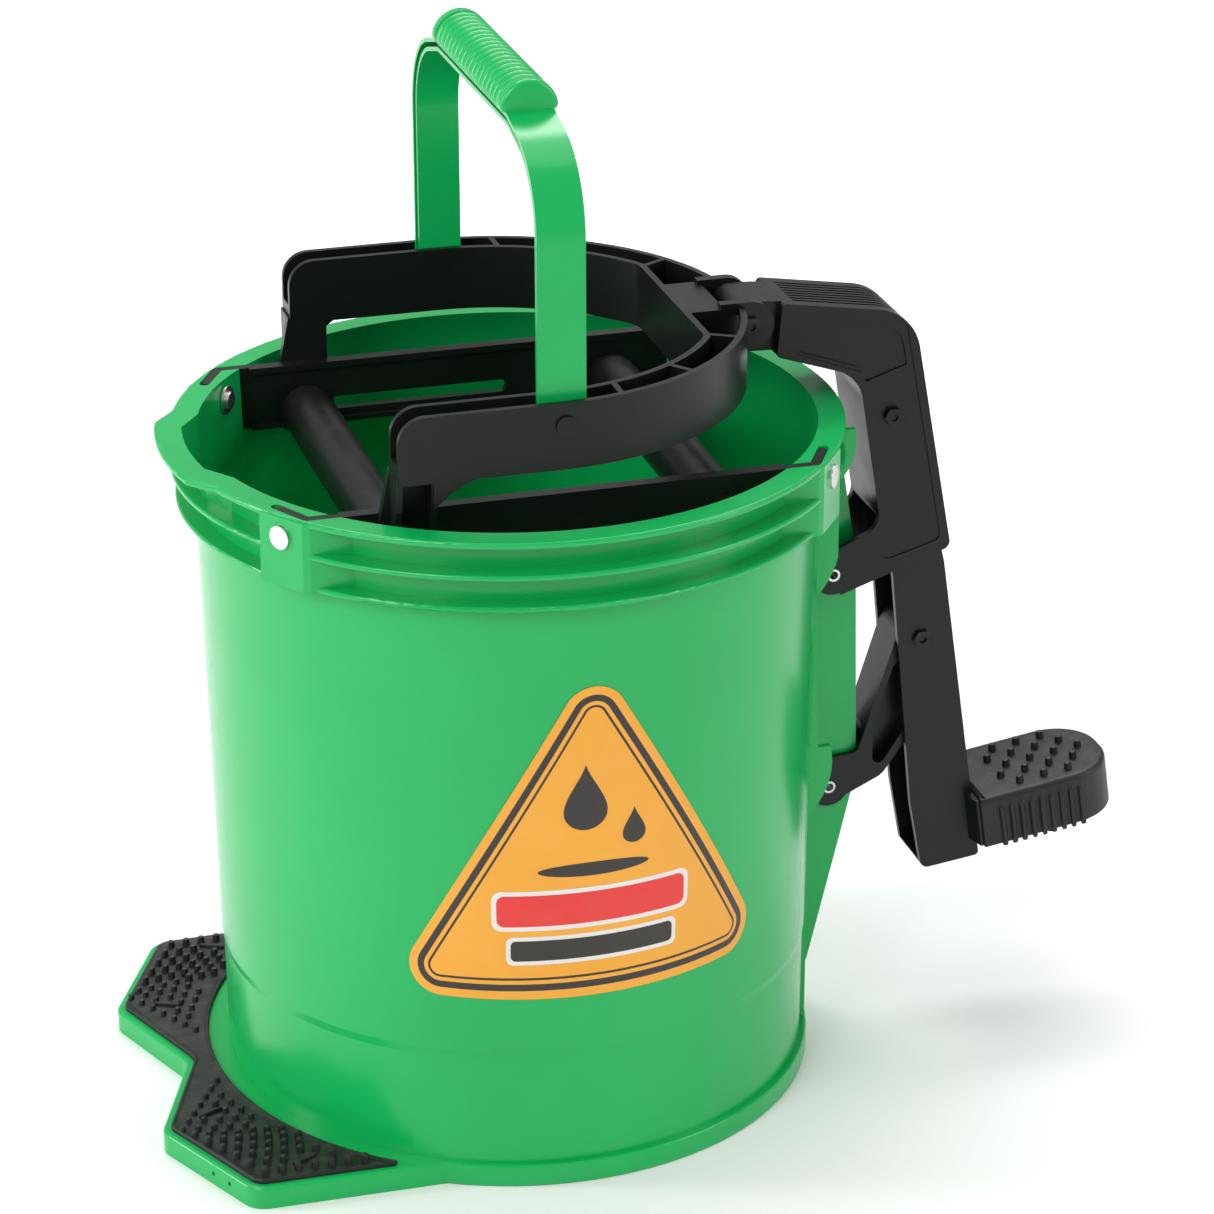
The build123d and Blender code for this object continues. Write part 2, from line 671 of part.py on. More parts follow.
def inside_lever():
    """Space between the lever's cheeks: behind the neck's top wall and the inner web."""
    with BuildSketch() as drawn:
        with BuildLine():
            Polyline((128.0, 355.6), (177.5, 347.6), (184.0, 342.0), (186.5, 318.0), (240, 318.0), (240, 200),
                     (130, 200), (130, 243.0), (166.5, 251.5), (173.2, 254.5), (162.0, 322.0), (157.0, 327.0),
                     (128.0, 336.8), (128.0, 355.6))
        make_face()
    return drawn.sketch


with BuildPart() as lever:
    with BuildSketch(side_plane(0)):
        add(lever_outline())
    extrude(amount=LEVER_OUT, both=True)
    with BuildSketch(side_plane(0)):
        add(inside_lever())
    extrude(amount=LEVER_IN, both=True, mode=Mode.SUBTRACT)
    # shallow panels in both cheeks, leaving a raised edge
    for side in (1, -1):
        with BuildSketch(side_plane(side * LEVER_OUT)):
            with BuildLine():
                FilletPolyline((126.5, 354.8), (180.5, 346.2), (200.0, 238.6), (170.0, 230.0),
                               (174.5, 254.5), (163.0, 322.5), (126.5, 336.6), close=True, radius=4)
            make_face()
        extrude(amount=0.6, both=True, mode=Mode.SUBTRACT)
    # a deeper panel in each side of the neck
    for side in (1, -1):
        with BuildSketch(side_plane(side * LEVER_OUT)):
            with BuildLine():
                FilletPolyline(*NECK_PANEL, close=True, radius=[2.0, 12.0, 1.0, 1.0, 6.0, 2.0])
            make_face()
        extrude(amount=NECK_PANEL_DEPTH, both=True, mode=Mode.SUBTRACT)
    # grooves along the top of the neck, down into the bend
    for groove in range(GROOVES):
        across = (groove - (GROOVES - 1) / 2) * GROOVE_PITCH
        with BuildSketch(side_plane(across)):
            add(lever_outline())
            with BuildSketch(mode=Mode.SUBTRACT):
                add(lever_outline())
                offset(amount=-GROOVE_DEPTH)
            with Locations((153.0, 352.0)):
                Rectangle(50.0, 22.0, mode=Mode.INTERSECT)
        extrude(amount=GROOVE_WIDTH / 2, both=True, mode=Mode.SUBTRACT)
    # tongue between the yoke's ears, with a radial slot for the yoke's bolt
    with BuildSketch(side_plane(0)):
        with BuildLine():
            FilletPolyline((97.5, 361.5), (123.0, 359.8), (123.0, 337.0), (101.0, 337.8), close=True,
                           radius=[8.0, 0.5, 0.5, 8.0])
        make_face()
        toward_a = Vector(PIVOT_A[0] - PIVOT_E[0], PIVOT_A[1] - PIVOT_E[1]).normalized()
        slot_mid = Vector(*PIVOT_E) + toward_a * 2.9
    extrude(amount=EAR_IN - 0.55, both=True)
    with BuildSketch(side_plane(0)):
        with Locations(Location((slot_mid.X, slot_mid.Y, 0), degrees(atan2(toward_a.Y, toward_a.X)))):
            SlotCenterToCenter(8.6, 2 * (PIN_R + 0.9))
        with Locations(PIVOT_A):
            Circle(PIN_R + RUNNING)
        with Locations(PIVOT_C):
            Circle(PIN_R)
    extrude(amount=LEVER_OUT + 2, both=True, mode=Mode.SUBTRACT)
save(lever.part, "gooseneck_lever")

save(bolt_with_tail(PIVOT_C, LEVER_OUT, 5.4), "arm_pivot_bolt")
save(lock_nut(PIVOT_C, LEVER_OUT), "arm_pivot_nut")


def roll_pin(pivot, half):
    """Hollow spring pin."""
    with BuildPart() as made:
        with BuildSketch(side_plane(0)):
            with Locations(pivot):
                Circle(PIN_R)
                Circle(PIN_R - 1.0, mode=Mode.SUBTRACT)
        extrude(amount=half, both=True)
    return made.part


def spacers(pivot, inner, outer, radius):
    """Pair of sleeves on a pin, between the lug plates and the cheeks."""
    made = []
    for side in (1, -1):
        with BuildPart() as sleeve:
            with BuildSketch(side_plane(side * inner)):
                with Locations(pivot):
                    Circle(radius)
                    Circle(PIN_R, mode=Mode.SUBTRACT)
            extrude(amount=-side * (outer - inner))
        made.append(sleeve.part)
    return made


save(roll_pin(PIVOT_A, LEVER_OUT + 0.6), "lever_pivot_pin")
save(roll_pin(PIVOT_B, LINK_OUT + 0.6), "link_pivot_pin")
save(spacers(PIVOT_A, LUG_OUT, LEVER_IN - 0.3, 5.0), "lever_pivot_spacers")

springs = []
for side in (1, -1):
    with BuildPart() as coil:
        with BuildLine():
            start = (PIVOT_A[0], side * (LUG_OUT + 1.3), PIVOT_A[1])
            turns = Helix(pitch=1.7, height=4.9, radius=7.0, center=start, direction=(0, side, 0))
        with BuildSketch(Plane(origin=turns @ 0, z_dir=turns % 0)):
            Circle(0.7)
        sweep(path=turns)
    springs.append(coil.part)
save(springs, "return_springs")


# ================================ pedal arm ===================================================
def arm_outline():
    """Arm seen from the side: round about its upper pivot, square at the pedal."""
    with BuildSketch() as drawn:
        with BuildLine():
            FilletPolyline((183.9, 300.0), (203.4, 226.0), (217.6, 128.0), (226.0, 71.0), (197.0, 67.4),
                           (190.4, 103.0), (178.4, 222.0), (166.2, 299.0), close=True,
                           radius=[0.5, 30.0, 30.0, 2.0, 4.0, 30.0, 30.0, 0.5])
        make_face()
        with Locations(PIVOT_C):
            Circle(8.9)
    return drawn.sketch


def arm_space():
    """Space between the arm's cheeks: open towards the bucket, closed by the outer web."""
    with BuildSketch() as drawn:
        with BuildLine():
            Polyline((150, 320), (182.0, 322), (200.3, 226.0), (214.4, 128.0), (222.0, 74.5), (180, 69.0),
                     (150, 320))
        make_face()
    return drawn.sketch


PEDAL_PLANE = Plane(origin=(PEDAL_START[0], 0, PEDAL_START[1]),
                    x_dir=(cos(radians(PEDAL_SLOPE)), 0, sin(radians(PEDAL_SLOPE))),
                    z_dir=(-sin(radians(PEDAL_SLOPE)), 0, cos(radians(PEDAL_SLOPE))))


def pedal_plan(inset, start):
    """Pedal from above: straight sides and a round outer end."""
    half = PEDAL_HALF - inset
    with BuildSketch() as drawn:
        with BuildLine():
            corner = 24.0 - inset
            FilletPolyline((start, -half), (PEDAL_LENGTH - inset, -half), (PEDAL_LENGTH - inset, half),
                           (start, half), radius=corner)
            Line((start, half), (start, -half))
        make_face()
    return drawn.sketch


with BuildPart() as pedal_arm:
    with BuildSketch(side_plane(0)):
        add(arm_outline())
    extrude(amount=ARM_OUT, both=True)
    with BuildSketch(side_plane(0)):
        add(arm_space())
    extrude(amount=ARM_IN, both=True, mode=Mode.SUBTRACT)
    # pedal tongue, inside the rubber cover
    with BuildSketch(PEDAL_PLANE.offset(-COVER_WALL - 0.1)):
        add(pedal_plan(COVER_WALL + 0.1, 4.0))
    extrude(amount=-(PEDAL_HEIGHT - 2 * COVER_WALL - 0.2))
    # collar that widens the arm to meet the cover
    with BuildSketch(PEDAL_PLANE.offset(-0.5)):
        with BuildLine():
            Polyline((0.6, -14.5), (3.2, -25.5), (4.6, -25.5), (4.6, 25.5), (3.2, 25.5), (0.6, 14.5),
                     (0.6, -14.5))
        make_face()
    extrude(amount=-(PEDAL_HEIGHT - 1.0))
    # pivot holes
    with BuildSketch(side_plane(0)):
        with Locations(PIVOT_C):
            Circle(PIN_R + RUNNING)
        with Locations(PIVOT_D):
            Circle(PIN_R)
    extrude(amount=ARM_OUT + 2, both=True, mode=Mode.SUBTRACT)
save(pedal_arm.part, "pedal_arm")

PEDAL_STUDS = [(28.4 + 12.3 * column, row) for row, count in ((-18.2, 3), (0.0, 4), (18.2, 3))
               for column in range(count)]
PEDAL_STUDS += [(22.3 + 12.3 * column, row) for row in (-9.1, 9.1) for column in range(4)]

with BuildPart() as cover:
    with BuildSketch(PEDAL_PLANE):
        add(pedal_plan(0, 4.8))
    extrude(amount=-PEDAL_HEIGHT)
    top_edges = cover.edges().filter_by(lambda edge: PEDAL_PLANE.to_local_coords(edge.center()).Z > -0.01)
    fillet(top_edges.filter_by(lambda edge: PEDAL_PLANE.to_local_coords(edge.center()).X > 6), 2.0)
    with BuildSketch(PEDAL_PLANE.offset(-COVER_WALL)):
        add(pedal_plan(COVER_WALL, 0.0))
    extrude(amount=-(PEDAL_HEIGHT - 2 * COVER_WALL), mode=Mode.SUBTRACT)
    # studs on the tread and ribs round the side
    with BuildSketch(PEDAL_PLANE.offset(-0.5)):
        with Locations(*PEDAL_STUDS):
            Circle(1.9)
    extrude(amount=4.0)
    for side in (1, -1):
        with BuildSketch(PEDAL_PLANE.offset(-6.0)):
            with Locations(*[(15.0 + 5.0 * rib, side * PEDAL_HALF) for rib in range(8)]):
                Rectangle(2.0, 2.4)
        extrude(amount=-(PEDAL_HEIGHT - 6.0))
save(cover.part, "pedal_cover")

save(bolt_with_tail(PIVOT_D, ARM_OUT, 5.4), "link_bolt")
save(lock_nut(PIVOT_D, ARM_OUT), "link_nut")


# ================================ link ========================================================
def link_outline():
    """Curved link: a short foot at the bucket that turns up towards the pedal arm."""
    with BuildSketch() as drawn:
        with BuildLine():
            FilletPolyline((150.2, 130.4), (164.4, 131.0), (183.2, 191.2), (203.6, 184.6), (187.8, 134.0),
                           (177.0, 118.4), (148.6, 105.2), close=True,
                           radius=[0.5, 5.0, 0.5, 0.5, 12.0, 12.0, 0.5])
        make_face()
        with Locations(PIVOT_D):
            Circle(10.7)
        with Locations(PIVOT_B):
            Circle(9.8)
    return drawn.sketch


with BuildPart() as link:
    with BuildSketch(side_plane(0)):
        add(link_outline())
    extrude(amount=LINK_OUT, both=True)
    # fork round the lug plates
    with BuildSketch(side_plane(0)):
        with BuildLine():
            Polyline((130, 90), (169.0, 90), (169.0, 134), (168.0, 146), (160, 150), (130, 150), (130, 90))
        make_face()
    extrude(amount=LINK_IN, both=True, mode=Mode.SUBTRACT)
    # pockets in both sides of the upright part
    for side in (1, -1):
        with BuildSketch(side_plane(side * LINK_OUT)):
            with BuildLine():
                FilletPolyline((172.0, 123.0), (172.0, 145.0), (181.8, 175.5), (195.8, 171.5), (185.6, 138.0),
                               (177.5, 125.5), close=True, radius=3)
            make_face()
        extrude(amount=8.0, both=True, mode=Mode.SUBTRACT)
    with BuildSketch(side_plane(0)):
        with Locations(PIVOT_B):
            Circle(PIN_R + RUNNING)
        with Locations(PIVOT_D):
            Circle(PIN_R + 1.1)
    extrude(amount=LINK_OUT + 2, both=True, mode=Mode.SUBTRACT)
save(link.part, "link")


# ================================ carrying handle =============================================
def handle_band(outer, thick):
    """Closed band in Y and Z: up one leg, round the bend, under the grip and down the other leg."""
    paths = []
    for depth in (outer, outer + thick):
        radius = BEND_R - depth
        bend = 75.0
        y0 = -(LEG_OUT - depth)
        y1 = y0 + radius * (1 - cos(radians(bend)))
        z1 = BEND_Z + radius * sin(radians(bend))
        flat_z = GRIP_Z - depth
        y2 = y1 + (flat_z - z1) / sin(radians(90 - bend)) * cos(radians(90 - bend))
        paths.append((y0, y1, z1, y2, flat_z, radius))
    with BuildSketch() as drawn:
        with BuildLine():
            ends = []
            for y0, y1, z1, y2, flat_z, radius in paths:
                middle_y = y0 + radius * (1 - cos(radians(37.5)))
                middle_z = BEND_Z + radius * sin(radians(37.5))
                for side in (1, -1):
                    Line((side * y0, HANDLE_Z), (side * y0, BEND_Z))
                    ThreePointArc((side * y0, BEND_Z), (side * middle_y, middle_z), (side * y1, z1))
                    Line((side * y1, z1), (side * y2, flat_z))
                Line((y2, flat_z), (-y2, flat_z))
                ends.append(y0)
            for side in (1, -1):
                Line((side * ends[0], HANDLE_Z), (side * ends[1], HANDLE_Z))
        make_face()
    return drawn.sketch


HANDLE_PLANE = Plane(origin=(HANDLE_X, 0, 0), x_dir=(0, 1, 0), z_dir=(1, 0, 0))

with BuildPart() as handle:
    for outer, thick, half in ((0.0, 1.9, LEG_HALF), (1.8, 2.4, 3.2), (4.1, 1.9, LEG_HALF - 0.7)):
        with BuildSketch(HANDLE_PLANE):
            add(handle_band(outer, thick))
        extrude(amount=half, both=True)
    # round eyes at the pivots
    for side in (1, -1):
        with BuildSketch(side_plane(side * (LEG_OUT - LEG_DEPTH / 2))):
            with Locations((HANDLE_X, HANDLE_Z)):
                Circle(LEG_HALF)
        extrude(amount=LEG_DEPTH / 2, both=True)
    with BuildSketch(side_plane(0)):
        with Locations((HANDLE_X, HANDLE_Z)):
            Circle(PIN_R + RUNNING)
    extrude(amount=130, both=True, mode=Mode.SUBTRACT)
save(handle.part, "carrying_handle")


def grip_section(half_width, height):
    """D-shaped section: flat underneath, half an ellipse above."""
    with BuildSketch() as drawn:
        with Locations((HANDLE_X, GRIP_Z)):
            Ellipse(half_width, height)
            Rectangle(4 * half_width, 4 * height, align=(Align.CENTER, Align.MAX), mode=Mode.SUBTRACT)
    return drawn.sketch


with BuildPart() as grip:
    with BuildSketch(side_plane(0)):
        add(grip_section(12.0, 12.0))
    extrude(amount=GRIP_HALF, both=True)
    pitch = (2 * GRIP_HALF - 3.2) / (GRIP_RIBS - 1)
    for rib in range(GRIP_RIBS):
        with BuildSketch(side_plane(-GRIP_HALF + 1.6 + rib * pitch)):
            add(grip_section(12.9, 13.2))
        extrude(amount=1.6, both=True)
save(grip.part, "handle_grip")
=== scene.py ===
"""Looks of the round mop bucket with its pedal-worked roller wringer.

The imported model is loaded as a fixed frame.  Pieces that need a finer surface than the model's are
worked out here with numpy and stand in for its nodes; the rest keep their shape and get a finish.
Sizes are metres, in the model's own frame: X from the foot plate to the pedal, Y to the back, Z up.
"""

import json
import math

import bpy
import numpy as np
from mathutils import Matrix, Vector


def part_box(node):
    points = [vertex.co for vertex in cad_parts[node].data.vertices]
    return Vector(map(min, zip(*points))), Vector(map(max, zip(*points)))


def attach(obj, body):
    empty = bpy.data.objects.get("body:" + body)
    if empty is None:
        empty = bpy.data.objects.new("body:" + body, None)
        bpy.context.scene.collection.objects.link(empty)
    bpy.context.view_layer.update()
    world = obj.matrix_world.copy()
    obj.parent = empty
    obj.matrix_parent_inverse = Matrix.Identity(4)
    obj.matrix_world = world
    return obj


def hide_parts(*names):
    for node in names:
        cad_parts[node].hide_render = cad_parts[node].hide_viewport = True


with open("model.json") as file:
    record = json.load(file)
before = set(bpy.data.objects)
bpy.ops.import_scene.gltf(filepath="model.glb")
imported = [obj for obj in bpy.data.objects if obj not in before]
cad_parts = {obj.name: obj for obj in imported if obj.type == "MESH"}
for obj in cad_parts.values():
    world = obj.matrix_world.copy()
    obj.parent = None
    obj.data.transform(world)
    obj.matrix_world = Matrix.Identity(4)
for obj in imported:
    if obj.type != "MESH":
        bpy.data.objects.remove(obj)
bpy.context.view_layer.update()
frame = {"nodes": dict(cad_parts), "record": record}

# ---- sizes shared with the model --------------------------------------------------------------
AXIS_X = -0.05815                                 # the bucket's own axis
RIM_TOP = 0.3137
MOUTH_RADIUS = 0.1403                             # outside of the wall at the rim
BASE_RADIUS = 0.1344                              # outside of the wall at the floor
LABEL_RADIUS = 0.1377                             # of the wall at the middle of the label
GRIP_LOW, GRIP_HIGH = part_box("handle_grip")
PAD_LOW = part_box("foot_pad")[0]
PEDAL_SLOPE = math.radians(8.3)
PEDAL_START = (AXIS_X + 0.2165, 0.1042)           # top of the pedal's inner end, X and Z
CAMERA_PLACE = (AXIS_X - 0.4422, -1.6753, 0.9693)
CAMERA_TILT, CAMERA_TURN = -0.406, -0.287
CAMERA_SHIFT = (-0.0113, -0.0067)


# ==================================== materials ===============================================
def group(name, inputs, outputs):
    """Empty node group with named float inputs and named outputs."""
    tree = bpy.data.node_groups.new(name, "ShaderNodeTree")
    for label, value in inputs:
        socket = tree.interface.new_socket(name=label, in_out="INPUT", socket_type="NodeSocketFloat")
        socket.default_value = value
    for label, kind in outputs:
        tree.interface.new_socket(name=label, in_out="OUTPUT", socket_type=kind)
    return tree, tree.nodes.new("NodeGroupInput"), tree.nodes.new("NodeGroupOutput")


def math_node(tree, operation, first, second, clamp=False):
    """Math node whose operands are numbers or sockets; returns its output socket."""
    node = tree.nodes.new("ShaderNodeMath")
    node.operation = operation
    node.use_clamp = clamp
    for index, operand in enumerate((first, second)):
        if isinstance(operand, (int, float)):
            node.inputs[index].default_value = operand
        else:
            tree.links.new(operand, node.inputs[index])
    return node.outputs[0]


def noise(tree, vector, scale, detail=3.0, rough=0.55):
    """Noise texture on a vector socket; scale may be a number or a socket."""
    node = tree.nodes.new("ShaderNodeTexNoise")
    node.inputs["Detail"].default_value = detail
    node.inputs["Roughness"].default_value = rough
    tree.links.new(vector, node.inputs["Vector"])
    if isinstance(scale, (int, float)):
        node.inputs["Scale"].default_value = scale
    else:
        tree.links.new(scale, node.inputs["Scale"])
    return node.outputs["Fac"]


def object_place(tree, stretch=(1, 1, 1)):
    """Object coordinates, stretched along the axes."""
    coordinates = tree.nodes.new("ShaderNodeTexCoord")
    mapping = tree.nodes.new("ShaderNodeMapping")
    mapping.inputs["Scale"].default_value = stretch
    tree.links.new(coordinates.outputs["Object"], mapping.inputs["Vector"])
    return mapping.outputs["Vector"]


def ramp(tree, factor, low, high):
    """Smooth step of the factor between two values."""
    node = tree.nodes.new("ShaderNodeMapRange")
    node.interpolation_type = "SMOOTHSTEP"
    node.inputs["From Min"].default_value = low
    node.inputs["From Max"].default_value = high
    tree.links.new(factor, node.inputs["Value"])
    return node.outputs["Result"]


def moulded_surface_group():
    """Moulding flow: slow waviness plus fine orange peel, as a height."""
    tree, inside, out = group("moulded_surface", [("Waviness", 1.0), ("Peel", 1.0)],
                              [("Height", "NodeSocketFloat")])
    place = object_place(tree)
    slow = noise(tree, place, 16.0, 2.0)
    fine = noise(tree, place, 900.0, 2.0)
    waves = math_node(tree, "MULTIPLY", slow, inside.outputs["Waviness"])
    peel = math_node(tree, "MULTIPLY", fine, inside.outputs["Peel"])
    fine_peel = math_node(tree, "MULTIPLY", peel, 0.06)
    tree.links.new(math_node(tree, "ADD", waves, fine_peel), out.inputs["Height"])
    return tree


def scuff_group():
    """Rubbed patches and short scratches, as a mask from 0 to 1."""
    tree, inside, out = group("scuffs", [("Scale", 1.0), ("Amount", 0.5)], [("Mask", "NodeSocketFloat")])
    patch_scale = math_node(tree, "MULTIPLY", inside.outputs["Scale"], 24.0)
    line_scale = math_node(tree, "MULTIPLY", inside.outputs["Scale"], 90.0)
    patches = ramp(tree, noise(tree, object_place(tree), patch_scale, 5.0), 0.50, 0.72)
    lines = ramp(tree, noise(tree, object_place(tree, (0.25, 0.6, 5.0)), line_scale, 4.0), 0.60, 0.74)
    both = math_node(tree, "MAXIMUM", patches, math_node(tree, "MULTIPLY", lines, 0.8))
    tree.links.new(math_node(tree, "MULTIPLY", both, inside.outputs["Amount"]), out.inputs["Mask"])
    return tree


def dust_group():
    """Fine dust that lies where a surface faces up, broken by noise."""
    tree, inside, out = group("dust", [("Amount", 0.3)], [("Mask", "NodeSocketFloat")])
    geometry = tree.nodes.new("ShaderNodeNewGeometry")
    split = tree.nodes.new("ShaderNodeSeparateXYZ")
    tree.links.new(geometry.outputs["Normal"], split.inputs["Vector"])
    facing = ramp(tree, split.outputs["Z"], 0.55, 1.0)
    spots = ramp(tree, noise(tree, object_place(tree), 140.0, 6.0, 0.7), 0.42, 0.68)
    covered = math_node(tree, "MULTIPLY", facing, spots)
    tree.links.new(math_node(tree, "MULTIPLY", covered, inside.outputs["Amount"]), out.inputs["Mask"])
    return tree


SURFACE = moulded_surface_group()
SCUFFS = scuff_group()
DUST = dust_group()


def use(material, tree, **values):
    """Place a shared group in a material with its own values."""
    node = material.node_tree.nodes.new("ShaderNodeGroup")
    node.node_tree = tree
    for name, value in values.items():
        node.inputs[name].default_value = value
    return node


def mix_colour(material, factor, first, second):
    """Mix of two colours or colour sockets by a factor socket."""
    node = material.node_tree.nodes.new("ShaderNodeMix")
    node.data_type = "RGBA"
    material.node_tree.links.new(factor, node.inputs["Factor"])
    for socket, value in ((node.inputs[6], first), (node.inputs[7], second)):
        if isinstance(value, tuple):
            socket.default_value = (*value, 1.0)
        else:
            material.node_tree.links.new(value, socket)
    return node.outputs[2]


def moulded_plastic(name, colour, deep, worn, rough, coat, waviness, peel, scuff, dust, bump, shine=0.38):
    """Moulded plastic: colour that varies slowly, rubbed patches, dust, and a moulded surface."""
    material = bpy.data.materials.new(name)
    material.use_nodes = True
    tree = material.node_tree
    shader = tree.nodes["Principled BSDF"]
    shader.inputs["Coat Weight"].default_value = coat
    shader.inputs["Coat Roughness"].default_value = 0.16
    shader.inputs["Specular IOR Level"].default_value = shine
    cloud = ramp(tree, noise(tree, object_place(tree), 9.0, 3.0), 0.30, 0.72)
    base = mix_colour(material, cloud, colour, deep)
    scuffs = use(material, SCUFFS, Scale=1.0, Amount=scuff)
    base = mix_colour(material, scuffs.outputs["Mask"], base, worn)
    dusty = use(material, DUST, Amount=dust)
    base = mix_colour(material, dusty.outputs["Mask"], base, (0.42, 0.41, 0.38))
    tree.links.new(base, shader.inputs["Base Color"])
    roughness = math_node(tree, "MULTIPLY_ADD", scuffs.outputs["Mask"], 0.35)
    roughness.node.inputs[2].default_value = rough
    dust_roughness = math_node(tree, "MULTIPLY", dusty.outputs["Mask"], 0.4)
    roughness = math_node(tree, "ADD", roughness, dust_roughness, clamp=True)
    tree.links.new(roughness, shader.inputs["Roughness"])
    surface = use(material, SURFACE, Waviness=waviness, Peel=peel)
    bump_node = tree.nodes.new("ShaderNodeBump")
    bump_node.inputs["Strength"].default_value = bump
    bump_node.inputs["Distance"].default_value = 0.0008
    tree.links.new(surface.outputs["Height"], bump_node.inputs["Height"])
    tree.links.new(bump_node.outputs["Normal"], shader.inputs["Normal"])
    return material


def metal(name, colour, stained, rough, stretch, bump):
    """Metal with a drawn grain along the stretched axis and slight staining."""
    material = bpy.data.materials.new(name)
    material.use_nodes = True
    tree = material.node_tree
    shader = tree.nodes["Principled BSDF"]
    shader.inputs["Metallic"].default_value = 1.0
    stain = ramp(tree, noise(tree, object_place(tree), 70.0, 5.0), 0.45, 0.75)
    tree.links.new(mix_colour(material, stain, colour, stained), shader.inputs["Base Color"])
    grain = noise(tree, object_place(tree, stretch), 500.0, 4.0)
    roughness = math_node(tree, "MULTIPLY_ADD", grain, 0.22)
    roughness.node.inputs[2].default_value = rough
    tree.links.new(roughness, shader.inputs["Roughness"])
    bump_node = tree.nodes.new("ShaderNodeBump")
    bump_node.inputs["Strength"].default_value = bump
    bump_node.inputs["Distance"].default_value = 0.0002
    tree.links.new(grain, bump_node.inputs["Height"])
    tree.links.new(bump_node.outputs["Normal"], shader.inputs["Normal"])
    return material


GREEN_NYLON = moulded_plastic("green_nylon", (0.004, 0.420, 0.098), (0.003, 0.385, 0.088), (0.03, 0.46, 0.15),
                              rough=0.24, coat=0.12, waviness=0.6, peel=0.3, scuff=0.05, dust=0.01, bump=0.07,
                              shine=0.42)
BLACK_NYLON = moulded_plastic("black_nylon", (0.0060, 0.0080, 0.0066), (0.0045, 0.0060, 0.0050),
                              (0.016, 0.018, 0.016), rough=0.34, coat=0.04, waviness=0.5, peel=0.7,
                              scuff=0.16, dust=0.02, bump=0.16, shine=0.30)
BLACK_RUBBER = moulded_plastic("black_rubber", (0.0105, 0.0120, 0.0105), (0.007, 0.008, 0.007),
                               (0.024, 0.025, 0.024), rough=0.46, coat=0.0, waviness=0.4, peel=1.2,
                               scuff=0.20, dust=0.06, bump=0.26, shine=0.40)
AMBER_INK = moulded_plastic("amber_ink", (0.86, 0.385, 0.034), (0.82, 0.36, 0.030), (0.88, 0.50, 0.12),
                            rough=0.34, coat=0.2, waviness=0.2, peel=0.3, scuff=0.12, dust=0.02, bump=0.05)
CHARCOAL_INK = moulded_plastic("charcoal_ink", (0.030, 0.026, 0.022), (0.026, 0.022, 0.019),
                               (0.09, 0.07, 0.05), rough=0.36, coat=0.2, waviness=0.2, peel=0.3,
                               scuff=0.12, dust=0.02, bump=0.05)
RED_INK = moulded_plastic("red_ink", (0.76, 0.035, 0.030), (0.72, 0.030, 0.026), (0.80, 0.20, 0.15),
                          rough=0.34, coat=0.2, waviness=0.2, peel=0.3, scuff=0.12, dust=0.02, bump=0.05)
WHITE_INK = moulded_plastic("white_ink", (0.78, 0.76, 0.72), (0.74, 0.72, 0.68), (0.70, 0.62, 0.50),
                            rough=0.34, coat=0.2, waviness=0.2, peel=0.3, scuff=0.12, dust=0.02, bump=0.05)
BRIGHT_STEEL = metal("bright_steel", (0.72, 0.71, 0.69), (0.52, 0.50, 0.47), 0.20, (1, 12, 1), 0.15)
BLACK_STEEL = metal("black_steel", (0.035, 0.035, 0.036), (0.06, 0.055, 0.05), 0.35, (1, 1, 1), 0.12)

FINISH_OF_SLOT = {"green_nylon": GREEN_NYLON, "black_nylon": BLACK_NYLON, "black_rubber": BLACK_RUBBER,
                  "bright_steel": BRIGHT_STEEL, "black_steel": BLACK_STEEL, "amber_label": AMBER_INK}
for part in frame["record"]["subparts"]:
    node = frame["nodes"][part["node"]]
    finish = FINISH_OF_SLOT[part["material_slot"]]
    node.data.materials.clear()
    node.data.materials.append(finish)


# ==================================== worked-out surfaces =======================================
def wall_radius(z):
    """Outside radius of the bucket's wall, which grows evenly from the floor to the rim."""
    return BASE_RADIUS + (MOUTH_RADIUS - BASE_RADIUS) * z / RIM_TOP


def grid_faces(rows, columns, first=0):
    """Four-sided faces between rows of a grid whose columns close on themselves."""
    row, column = np.meshgrid(np.arange(rows - 1), np.arange(columns), indexing="ij")
    beside = (column + 1) % columns
    low, high = row * columns, (row + 1) * columns
    return first + np.stack([low + column, low + beside, high + beside, high + column], -1).reshape(-1, 4)


def build(name, points, faces, body, finishes, face_finish=None, smooth=True, stands_for=()):
    """Mesh from arrays of points and faces, riding on its body and standing for the model's nodes."""
    data = bpy.data.meshes.new(name)
    corners = [list(map(int, face)) for face in faces]
    data.from_pydata(np.asarray(points, float).reshape(-1, 3).tolist(), [], corners)
    for finish in finishes:
        data.materials.append(finish)
    if face_finish is not None:
        data.polygons.foreach_set("material_index", np.asarray(face_finish, dtype=np.int32))
    data.polygons.foreach_set("use_smooth", np.full(len(data.polygons), smooth))
    data.update()
    piece = bpy.data.objects.new(name, data)
    bpy.context.scene.collection.objects.link(piece)
    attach(piece, body)
    if stands_for:
        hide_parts(*stands_for)
    return piece


def sharpen(piece, degrees_):
    """Edges that turn by more than the angle are marked sharp, so that shading breaks there."""
    piece.data.set_sharp_from_angle(angle=math.radians(degrees_))


def loop_normals(loop):
    """Outward unit normals of a closed plan loop that runs anticlockwise."""
    step = np.roll(loop, -1, 0) - np.roll(loop, 1, 0)
    normal = np.stack([step[:, 1], -step[:, 0]], -1)
    return normal / np.linalg.norm(normal, axis=1, keepdims=True)


